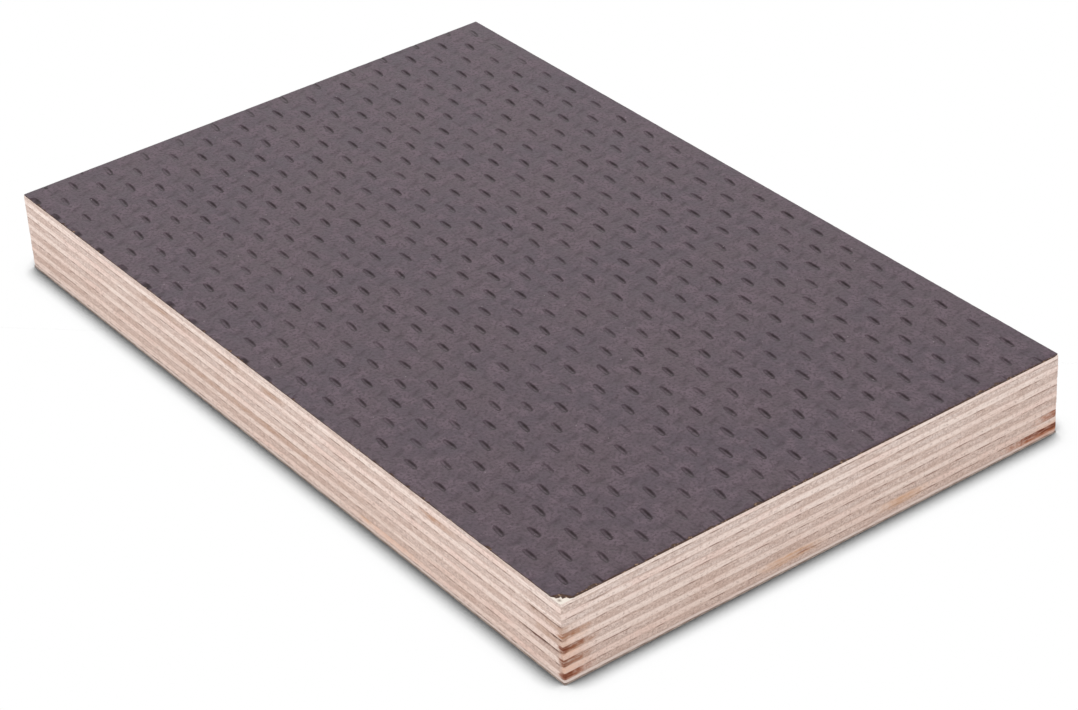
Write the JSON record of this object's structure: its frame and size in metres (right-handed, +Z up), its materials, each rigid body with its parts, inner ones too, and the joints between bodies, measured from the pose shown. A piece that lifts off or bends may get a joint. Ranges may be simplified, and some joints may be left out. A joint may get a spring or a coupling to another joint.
{
  "type": "anti-slip film-faced plywood sheet",
  "caption": "Flat rectangular offcut of cross-laminated plywood with a dark wire-mesh tread film on top and a smooth film beneath, for decking and vehicle floors.",
  "frame": {"origin": "middle of the underside, on the floor that the sheet lies on", "axes": "+X along the length, +Y along the width, +Z up through the thickness to the tread film"},
  "size_m": [0.19, 0.12, 0.018],
  "materials": {
    "tread_film": "satin dark grey-brown phenolic film with a wire-mesh imprint",
    "veneer_across": "raw sawn veneer, grain across the sheet",
    "veneer_along": "raw sawn veneer, grain along the sheet",
    "backing_film": "smooth satin dark grey-brown phenolic film"
  },
  "bodies": {
    "root": {"tread_film": "tread_film", "face_veneer": "veneer_across", "core_veneer_01": "veneer_along", "core_veneer_02": "veneer_across", "core_veneer_03": "veneer_along", "core_veneer_04": "veneer_across", "core_veneer_05": "veneer_along", "core_veneer_06": "veneer_across", "core_veneer_07": "veneer_along", "core_veneer_08": "veneer_across", "core_veneer_09": "veneer_along", "core_veneer_10": "veneer_across", "core_veneer_11": "veneer_along", "back_veneer": "veneer_across", "backing_film": "backing_film"}
  },
  "joints": []
}
